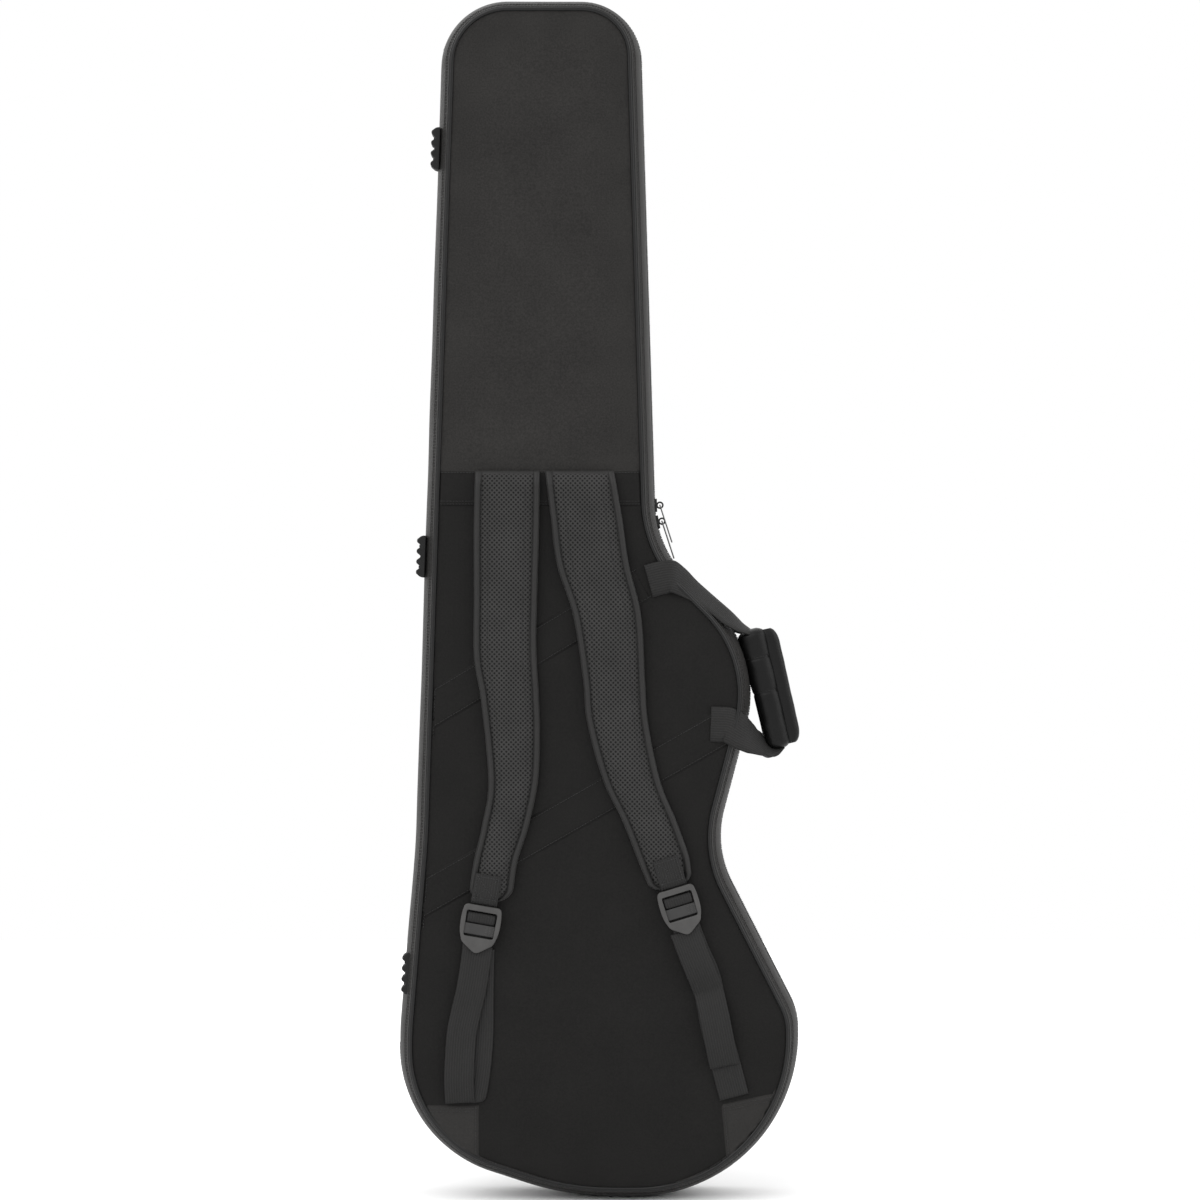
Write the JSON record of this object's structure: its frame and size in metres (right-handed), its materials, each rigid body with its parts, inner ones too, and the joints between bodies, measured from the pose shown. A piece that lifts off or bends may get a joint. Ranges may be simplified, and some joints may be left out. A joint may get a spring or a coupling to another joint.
{
  "type": "padded gig bag",
  "caption": "Upright padded gig bag for a solid-body long-neck instrument, with a hinged zipped lid, shoulder straps, a wrapped side handle and side feet.",
  "frame": {"origin": "middle of the bag's box, at the lowest point of its heel end", "axes": "+Z from the heel end up to the head end, +Y from the back panel with its straps to the lid, +X towards the carry handle"},
  "size_m": [0.4205, 0.1451, 1.2594],
  "materials": {
    "panel_nylon": "woven heavy nylon with a low sheen",
    "webbing": "ribbed flat webbing",
    "zipper_plastic": "moulded coil teeth",
    "foam": "closed-cell foam",
    "plush_lining": "short brushed plush",
    "piping_vinyl": "smooth vinyl cord cover",
    "foot_rubber": "moulded ribbed rubber",
    "rivet_steel": "black oxide",
    "spacer_mesh": "spacer mesh over soft foam with a bound edge",
    "buckle_plastic": "moulded, fine grain",
    "grip_fabric": "smooth coated fabric with quilted seams",
    "pull_metal": "dark nickel wire"
  },
  "bodies": {
    "case_back": {"back_panel": "panel_nylon", "back_gusset": "panel_nylon", "hinge_band": "panel_nylon", "zipper_tape_back": "webbing", "zipper_chain_back": "zipper_plastic", "back_foam_tray": "foam", "back_lining": "plush_lining", "back_piping": "piping_vinyl", "strap_anchor_band": "panel_nylon", "corner_patch_left": "panel_nylon", "corner_patch_right": "panel_nylon", "handle_band_upper": "webbing", "handle_band_lower": "webbing", "foot_top": "foot_rubber", "foot_middle": "foot_rubber", "foot_bottom": "foot_rubber", "foot_rivets": "rivet_steel", "neck_cradle": "foam", "heel_pad": "foam"},
    "lid": {"lid_panel": "panel_nylon", "lid_gusset": "panel_nylon", "zipper_tape_front": "webbing", "zipper_chain_front": "zipper_plastic", "lid_foam": "foam", "lid_lining": "plush_lining", "lid_piping": "piping_vinyl", "front_pocket_large": "panel_nylon", "front_pocket_large_zipper": "zipper_plastic", "front_pocket_small": "panel_nylon", "front_pocket_small_zipper": "zipper_plastic"},
    "carry_handle": {"handle_webbing_back": "webbing", "handle_grip": "grip_fabric"},
    "handle_flap": {"grip_flap": "grip_fabric"},
    "front_handle": {"handle_webbing_front": "webbing"},
    "shoulder_strap_left": {"shoulder_pad_left": "spacer_mesh", "buckle_keeper_left": "webbing"},
    "strap_buckle_left": {"buckle_left": "buckle_plastic", "buckle_webbing_left": "webbing"},
    "lower_strap_left": {"lower_webbing_left": "webbing", "webbing_tail_left": "webbing"},
    "shoulder_strap_right": {"shoulder_pad_right": "spacer_mesh", "buckle_keeper_right": "webbing"},
    "strap_buckle_right": {"buckle_right": "buckle_plastic", "buckle_webbing_right": "webbing"},
    "lower_strap_right": {"lower_webbing_right": "webbing", "webbing_tail_right": "webbing"},
    "slider_upper": {"main_slider_upper": "pull_metal"},
    "pull_upper": {"main_pull_upper": "pull_metal"},
    "slider_lower": {"main_slider_lower": "pull_metal"},
    "pull_lower": {"main_pull_lower": "pull_metal"},
    "pocket_slider_large": {"front_pocket_large_slider": "pull_metal"},
    "pocket_pull_large": {"front_pocket_large_pull": "pull_metal"},
    "pocket_slider_small": {"front_pocket_small_slider": "pull_metal"},
    "pocket_pull_small": {"front_pocket_small_pull": "pull_metal"}
  },
  "joints": [
    {"name": "lid_hinge", "type": "hinge", "parent": "case_back", "child": "lid", "pos_m": [-0.2105, -0.002, 0.17], "axis": [0.0421, 0, 0.9991], "range_deg": [0, 140]},
    {"name": "main_slider_upper_slide", "type": "slide", "parent": "case_back", "child": "slider_upper", "axis": [-0.0303, 0, 0.9995], "range_m": [0, 0.44]},
    {"name": "main_slider_lower_travel", "type": "hinge", "parent": "case_back", "child": "slider_lower", "pos_m": [0.17608, -0.002, 0.73443], "axis": [0, -1, 0], "range_deg": [0, 30]},
    {"name": "main_pull_upper_swing", "type": "hinge", "parent": "slider_upper", "child": "pull_upper", "pos_m": [0.06449, -0.002, 0.72905], "axis": [0, -1, 0], "range_deg": [0, 100]},
    {"name": "main_pull_lower_swing", "type": "hinge", "parent": "slider_lower", "child": "pull_lower", "pos_m": [0.06664, -0.002, 0.7121], "axis": [0, -1, 0], "range_deg": [0, 75]},
    {"name": "carry_handle_swing", "type": "hinge", "parent": "case_back", "child": "carry_handle", "pos_m": [0.044, -0.0594, 0.6342], "axis": [0.3816, 0, -0.9243], "range_deg": [0, 80]},
    {"name": "grip_flap_open", "type": "hinge", "parent": "carry_handle", "child": "handle_flap", "pos_m": [0.18926, -0.028, 0.53806], "axis": [-0.2198, 0, 0.9755], "range_deg": [-110, 0]},
    {"name": "front_handle_swing", "type": "hinge", "parent": "lid", "child": "front_handle", "pos_m": [0.044, 0.0554, 0.6342], "axis": [0.3816, 0, -0.9243], "range_deg": [-100, 0]},
    {"name": "shoulder_strap_left_swing", "type": "hinge", "parent": "case_back", "child": "shoulder_strap_left", "pos_m": [-0.0956, -0.064, 0.764], "axis": [-1, 0, 0], "range_deg": [0, 5]},
    {"name": "shoulder_strap_right_swing", "type": "hinge", "parent": "case_back", "child": "shoulder_strap_right", "pos_m": [-0.0204, -0.064, 0.764], "axis": [-1, 0, 0], "range_deg": [0, 5]},
    {"name": "buckle_left_tilt", "type": "hinge", "parent": "shoulder_strap_left", "child": "strap_buckle_left", "pos_m": [-0.121, -0.0677, 0.3065], "axis": [-0.9848, 0, 0.1736], "range_deg": [0, 30]},
    {"name": "buckle_right_tilt", "type": "hinge", "parent": "shoulder_strap_right", "child": "strap_buckle_right", "pos_m": [0.0795, -0.0677, 0.325], "axis": [-0.9563, 0, -0.2924], "range_deg": [0, 30]},
    {"name": "lower_strap_left_swing", "type": "hinge", "parent": "case_back", "child": "lower_strap_left", "pos_m": [-0.1423, -0.0596, 0.103], "axis": [1, 0, 0], "range_deg": [0, 16]},
    {"name": "lower_strap_right_swing", "type": "hinge", "parent": "case_back", "child": "lower_strap_right", "pos_m": [0.1415, -0.0596, 0.109], "axis": [1, 0, 0], "range_deg": [0, 14]},
    {"name": "pocket_slider_large_slide", "type": "slide", "parent": "lid", "child": "pocket_slider_large", "axis": [1, 0, 0], "range_m": [0, 0.2]},
    {"name": "pocket_slider_small_slide", "type": "slide", "parent": "lid", "child": "pocket_slider_small", "axis": [1, 0, 0], "range_m": [0, 0.08]},
    {"name": "pocket_pull_large_swing", "type": "hinge", "parent": "pocket_slider_large", "child": "pocket_pull_large", "pos_m": [-0.124, 0.0689, 0.304], "axis": [0, 0, 1], "range_deg": [0, 165]},
    {"name": "pocket_pull_small_swing", "type": "hinge", "parent": "pocket_slider_small", "child": "pocket_pull_small", "pos_m": [-0.102, 0.0679, 0.984], "axis": [0, 0, 1], "range_deg": [0, 165]}
  ],
  "couplings": [
    {"joint": "lower_strap_left_swing", "follows": "shoulder_strap_left_swing", "ratio": 3.1},
    {"joint": "lower_strap_right_swing", "follows": "shoulder_strap_right_swing", "ratio": 2.75}
  ]
}
